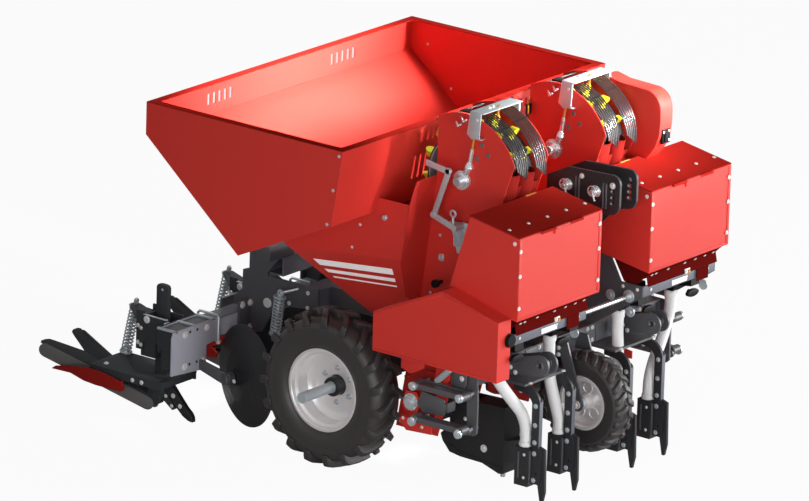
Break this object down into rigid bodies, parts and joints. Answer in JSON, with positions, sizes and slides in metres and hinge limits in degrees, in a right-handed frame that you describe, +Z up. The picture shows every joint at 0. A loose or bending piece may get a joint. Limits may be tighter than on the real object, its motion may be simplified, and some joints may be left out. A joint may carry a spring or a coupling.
{
  "type": "two-row mounted cup-belt potato planter",
  "caption": "Mounted row-crop planter with an open seed hopper, cup-belt planting units, fertiliser boxes, coulters, covering discs and rear ridging bodies.",
  "frame": {"origin": "on the ground, on the middle plane, straight below the axle of the main wheels", "axes": "+X forward, the way the tractor pulls; +Y to the left; +Z up"},
  "size_m": [3.0827, 2.156, 1.951],
  "materials": {
    "red_paint": "semi-gloss red paint",
    "frame_paint": "satin anthracite paint",
    "zinc_plate": "zinc plate",
    "belt_rubber": "matt",
    "drum_steel": "satin",
    "share_steel": "satin black",
    "outlet_plastic": "moulded",
    "hose": "smooth silver-grey",
    "tyre": "matt black",
    "rim_paint": "silver paint",
    "disc_steel": "satin",
    "spring_steel": "zinc plate",
    "cup_plastic": "yellow moulded",
    "guide_wire": "black coated",
    "knob_plastic": "black moulded",
    "orange_zinc": "orange chromated",
    "black_steel": "satin black",
    "white_stripe": "white stripe",
    "yellow_tape": "yellow"
  },
  "bodies": {
    "planter_frame": {"axle_beam": "frame_paint", "belt_rollers": "drum_steel", "belt_tensioners": "zinc_plate", "box_stands": "frame_paint", "box_troughs": "red_paint", "coulter_holders": "frame_paint", "coupler_plates": "frame_paint", "cradle_tube": "frame_paint", "cup_belts": "belt_rubber", "cup_unit_plates_left": "red_paint", "cup_unit_plates_right": "red_paint", "depth_crank": "zinc_plate", "disc_frame": "red_paint", "drive_guard": "red_paint", "fertiliser_box_left": "red_paint", "fertiliser_box_right": "red_paint", "fertiliser_coulters": "frame_paint", "fertiliser_hoses": "hose", "frame_rails": "frame_paint", "front_fork": "frame_paint", "front_toolbar": "frame_paint", "headstock_plates": "frame_paint", "hopper_bottom_plates": "red_paint", "hopper_front_panel": "red_paint", "hopper_funnel_left": "red_paint", "hopper_funnel_right": "red_paint", "hopper_rear_slope": "red_paint", "hopper_rear_wall": "red_paint", "hopper_rim": "red_paint", "hopper_side_left": "red_paint", "hopper_side_right": "red_paint", "link_pins": "zinc_plate", "lower_hitches": "frame_paint", "metering_drive_cover": "red_paint", "metering_outlets": "outlet_plastic", "metering_shaft": "zinc_plate", "parallel_links": "frame_paint", "planting_shares": "share_steel", "post_plates": "red_paint", "rear_arms": "frame_paint", "rear_cross_tube": "frame_paint", "rear_toolbar": "frame_paint", "ridger_springs": "spring_steel", "ridgers": "frame_paint", "unit_carriers": "red_paint", "unit_front_covers": "red_paint", "wheel_axles": "zinc_plate", "wheel_legs": "frame_paint"},
    "main_wheel_right": {"main_tyre_right": "tyre", "main_rim_right": "rim_paint"},
    "main_wheel_left": {"main_tyre_left": "tyre", "main_rim_left": "rim_paint"},
    "front_wheel": {"front_tyre": "tyre", "front_rim": "rim_paint"},
    "disc_right_outer": {"covering_disc_right_outer": "disc_steel"},
    "disc_right_inner": {"covering_disc_right_inner": "disc_steel"},
    "disc_left_outer": {"covering_disc_left_outer": "disc_steel"},
    "disc_left_inner": {"covering_disc_left_inner": "disc_steel"},
    "lid_right": {"fertiliser_lid_right": "red_paint"},
    "lid_left": {"fertiliser_lid_left": "red_paint"}
  },
  "joints": [
    {"name": "main_wheel_right_spin", "type": "hinge", "parent": "planter_frame", "child": "main_wheel_right", "pos_m": [0, -0.75, 0.405], "axis": [0, 1, 0], "continuous": true},
    {"name": "main_wheel_left_spin", "type": "hinge", "parent": "planter_frame", "child": "main_wheel_left", "pos_m": [0, 0.75, 0.405], "axis": [0, 1, 0], "continuous": true},
    {"name": "front_wheel_spin", "type": "hinge", "parent": "planter_frame", "child": "front_wheel", "pos_m": [1.041, 0, 0.387], "axis": [0, 1, 0], "continuous": true},
    {"name": "disc_right_outer_spin", "type": "hinge", "parent": "planter_frame", "child": "disc_right_outer", "pos_m": [-0.69, -0.635, 0.272], "axis": [0.342, 0.9397, 0], "continuous": true},
    {"name": "disc_right_inner_spin", "type": "hinge", "parent": "planter_frame", "child": "disc_right_inner", "pos_m": [-0.69, -0.115, 0.272], "axis": [-0.342, 0.9397, 0], "continuous": true},
    {"name": "disc_left_outer_spin", "type": "hinge", "parent": "planter_frame", "child": "disc_left_outer", "pos_m": [-0.69, 0.635, 0.272], "axis": [-0.342, 0.9397, 0], "continuous": true},
    {"name": "disc_left_inner_spin", "type": "hinge", "parent": "planter_frame", "child": "disc_left_inner", "pos_m": [-0.69, 0.115, 0.272], "axis": [0.342, 0.9397, 0], "continuous": true},
    {"name": "lid_right_hinge", "type": "hinge", "parent": "planter_frame", "child": "lid_right", "pos_m": [1.2443, -0.542, 1.473], "axis": [0, 1, 0], "range_deg": [0, 100]},
    {"name": "lid_left_hinge", "type": "hinge", "parent": "planter_frame", "child": "lid_left", "pos_m": [1.2443, 0.542, 1.473], "axis": [0, 1, 0], "range_deg": [0, 100]}
  ]
}
